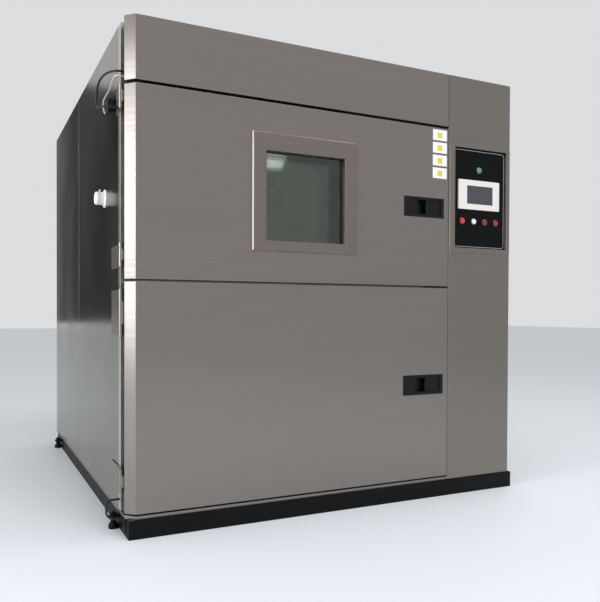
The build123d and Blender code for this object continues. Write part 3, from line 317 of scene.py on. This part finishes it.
work = bmesh.new()
face_y = plate_low.y - print_depth
outlines = []
for step in (0.0, line):
    away = inset + step
    outlines += rounded_outline(work, plate_low.x + away, plate_high.x - away, plate_low.z + away,
                                plate_high.z - away, face_y, turn_radius - step)
bmesh.ops.bridge_loops(work, edges=outlines)
bmesh.ops.recalc_face_normals(work, faces=work.faces)
print_ring = place_mesh("printed border", border, work, body="cabinet")
thicken = print_ring.modifiers.new("print thickness", "SOLIDIFY")
thicken.thickness = print_depth
thicken.offset = 0

# Blank plates on the upper door.
# Four white vinyl rectangles with a plain yellow square, stuck in a column above the latch.

# a cool white that reads lighter than the steel
vinyl = finish("white vinyl", "#ede6f0", 0.0, 0.45)
# a plain strong yellow
yellow = finish("yellow vinyl", "#d8c531", 0.0, 0.45)
door_low, door_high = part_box("upper_door_skin")
plate_width, plate_height, plate_pitch = 0.076, 0.046, 0.055
plate_top, plate_left = 1.602, 0.445
square_left, square_width = 0.025, 0.026
square_drop, square_height = 0.012, 0.024
vinyl_depth, square_depth = 0.0005, 0.0003


def flat_plate(name, material, x0, x1, z0, z1, y0, y1, body):
    work = bmesh.new()
    bmesh.ops.create_cube(work, size=1.0)
    bmesh.ops.scale(work, vec=(x1 - x0, y1 - y0, z1 - z0), verts=work.verts)
    bmesh.ops.translate(work, vec=((x0 + x1) / 2, (y0 + y1) / 2, (z0 + z1) / 2), verts=work.verts)
    return place_mesh(name, material, work, body=body)


for i in range(4):
    top = plate_top - i * plate_pitch
    plate_y = door_low.y - vinyl_depth
    flat_plate("blank plate %d" % (i + 1), vinyl, plate_left, plate_left + plate_width,
               top - plate_height, top, plate_y, door_low.y, "upper_door")
    x0, z1 = plate_left + square_left, top - square_drop
    flat_plate("yellow square %d" % (i + 1), yellow, x0, x0 + square_width,
               z1 - square_height, z1, plate_y - square_depth, plate_y, "upper_door")

# Hinges, door leaves, cables and sensor.
# Stainless leaves and pins, PVC-jacketed cables and a small moulded sensor on the left side.

# the tone of the outer sheets, without their lines
hinge_steel = finish("satin stainless hinge", "#8b877f", 1.0, 0.34)
for piece, node in (
    ("hinge plates", "hinge_plates"), ("upper door leaves", "upper_hinge_leaves"),
    ("lower door leaves", "lower_hinge_leaves"),
):
    dress(piece, hinge_steel, node, 0.4)
# black with a soft sheen along the loop
jacket = finish("black PVC jacket", "#141416", 0.0, 0.45)
dress("door cables", jacket, "door_cables", sharp=60)
# a beige line that shows against the dark side
pale_jacket = finish("beige PVC jacket", "#bdb8a9", 0.0, 0.5)
dress("sensor cable", pale_jacket, "sensor_cable", sharp=60)
dress("door sensor", nylon, "door_sensor", 0.8)

# Port plug.
# A soft white silicone plug in a stainless tube: a thick collar against the side sheet, a groove, a
# rounded cap and a small pull tab on top. The plug, and the tube with its flange, are drawn thinner than
# their solids.

# soft white that scatters a little light under its surface
plug_rubber = finish("white silicone plug", "#eceae6", 0.0, 0.5, Subsurface_Weight=0.1)
plug_low, plug_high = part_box("port_plug")
plug_y, plug_z = (plug_low.y + plug_high.y) / 2, (plug_low.z + plug_high.z) / 2
wall_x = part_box("left_panels")[0].x
# distance out from the side sheet, and radius
profile = ((0.0, 0.0), (0.0, 0.036), (0.004, 0.036), (0.005, 0.026), (0.019, 0.026), (0.020, 0.022),
           (0.023, 0.022), (0.024, 0.026), (0.036, 0.026), (0.040, 0.022), (0.041, 0.0))
work = bmesh.new()
line_points = [work.verts.new((wall_x - out, plug_y, plug_z + radius)) for out, radius in profile]
edges = [work.edges.new(pair) for pair in zip(line_points, line_points[1:])]
bmesh.ops.spin(work, geom=line_points + edges, cent=(wall_x, plug_y, plug_z), axis=(1, 0, 0),
               angle=math.tau, steps=48, use_merge=True)
bmesh.ops.remove_doubles(work, verts=work.verts, dist=1e-6)
tab_size, tab_out, tab_rise = (0.005, 0.006, 0.014), 0.0215, 0.029
tab = bmesh.ops.create_cube(work, size=1.0)["verts"]
bmesh.ops.scale(work, vec=tab_size, verts=tab)
bmesh.ops.translate(work, vec=(wall_x - tab_out, plug_y, plug_z + tab_rise), verts=tab)
bmesh.ops.recalc_face_normals(work, faces=work.faces)
for face in work.faces:
    face.smooth = len(face.verts) < 5 and face not in tab[0].link_faces
place_mesh("port plug", plug_rubber, work, "port_plug", 1.0, 3)
tube = dress("port tube", pale, "cable_port", 0.5)
flange_scale = 0.66
for point in tube.data.vertices:
    point.co.y = plug_y + (point.co.y - plug_y) * flange_scale
    point.co.z = plug_z + (point.co.z - plug_z) * flange_scale

# Machinery inside.
# Galvanised wheels and plate, grey-enamelled motors, an aluminium fan, fins and extrusions, black
# compressors.

# three greys that tell zinc, aluminium and enamel apart
galvanised = finish("galvanised sheet", "#a9acae", 1.0, 0.42)
extrusion = finish("natural anodised aluminium", "#b9bbbd", 1.0, 0.38)
motor_enamel = finish("grey motor enamel", "#6f7478", 0.0, 0.45)
for piece, node, material in (
    ("hot blower wheel", "hot_blower", galvanised), ("cold blower wheel", "cold_blower", galvanised),
    ("condenser fan", "condenser_fan", extrusion), ("condenser", "condenser", extrusion),
    ("evaporator coil", "evaporator_coil", extrusion), ("fan motors", "fan_motors", motor_enamel),
    ("compressors", "compressors", enamel), ("contactor plate", "electrical_plate", galvanised),
    ("lift carriage", "lift_carriage", extrusion), ("lift column", "lift_column", extrusion),
):
    dress(piece, material, node, 0.4 if node in ("compressors", "lift_carriage") else 0.0)

# Floor, lamps and camera.
# A pale studio floor, a dark card that only the bright side sheets mirror, large soft lamps, and the
# photograph's viewpoint.
def stage_sheet(name, material, width, height, turn, place):
    work = bmesh.new()
    bmesh.ops.create_grid(work, x_segments=1, y_segments=1, size=0.5)
    bmesh.ops.scale(work, vec=(width, height, 1), verts=work.verts)
    spin = Matrix.Rotation(math.radians(turn), 3, "X")
    bmesh.ops.rotate(work, cent=(0, 0, 0), matrix=spin, verts=work.verts)
    bmesh.ops.translate(work, vec=place, verts=work.verts)
    mesh = bpy.data.meshes.new(name)
    work.to_mesh(mesh)
    work.free()
    mesh.materials.append(material)
    made = bpy.data.objects.new(name, mesh)
    bpy.context.scene.collection.objects.link(made)
    return made


# even pale grey that keeps the shadow under the plinth soft
floor_paint = finish("pale studio floor", "#dcdfe2", 0.0, 0.6)
stage_sheet("studio_floor", floor_paint, 60, 60, 0, (0, 0, 0))
# nearly black and without a highlight
card_paint = finish("dark studio card", "#2a2925", 0.0, 0.9)
card = stage_sheet("dark_card", card_paint, 1.9, 2.93, 90, (-2.25, 5.0, 2.14))
card.visible_camera = False
card.visible_shadow = False
card.visible_diffuse = False

world = bpy.data.worlds.new("studio")
bpy.context.scene.world = world
world.use_nodes = True
backdrop = world.node_tree.nodes["Background"]
backdrop.inputs["Color"].default_value = colour("#e6e8ea")
backdrop.inputs["Strength"].default_value = 0.9

# a little bluer than the sky behind
lamp_tint = (0.93, 0.965, 1.0)
# name, place, what it points at, width and height in metres, and watts
for name, place, aim, size, power in (
    ("left softbox", (-5.2, -2.0, 1.9), (-0.9, -0.9, 1.2), (1.6, 2.6), 150),
    ("front softbox", (0.6, -6.0, 3.6), (0.0, 0.0, 0.8), (3.5, 2.0), 120),
    ("top softbox", (0.8, -1.3, 5.0), (0.6, -1.0, 0.0), (4.0, 1.2), 80),
):
    lamp = bpy.data.lights.new(name, "AREA")
    lamp.shape = "RECTANGLE"
    lamp.size, lamp.size_y = size
    lamp.energy = power
    lamp.color = lamp_tint
    holder = bpy.data.objects.new(name, lamp)
    bpy.context.scene.collection.objects.link(holder)
    holder.location = place
    # the front lamp would show as a white patch in the doors
    holder.visible_glossy = name != "front softbox"
    holder.rotation_euler = (Vector(aim) - Vector(place)).to_track_quat("-Z", "Y").to_euler()

yaw, pitch, roll = math.radians(24.61), math.radians(-0.79), math.radians(0.16)
level = math.cos(pitch)
forward = Vector((math.sin(yaw) * level, math.cos(yaw) * level, math.sin(pitch)))
optics = bpy.data.cameras.new("camera")
optics.lens = 38.86
optics.sensor_width = 36.0
optics.shift_x = 0.0628
optics.shift_y = 0.0339
camera = bpy.data.objects.new("camera", optics)
bpy.context.scene.collection.objects.link(camera)
camera.location = (-1.405, -3.210, 0.804)
facing = forward.to_track_quat("-Z", "Y").to_matrix()
camera.rotation_euler = (facing @ Matrix.Rotation(roll, 3, "Z")).to_euler()
bpy.context.scene.camera = camera
bpy.context.scene.view_settings.view_transform = "Standard"
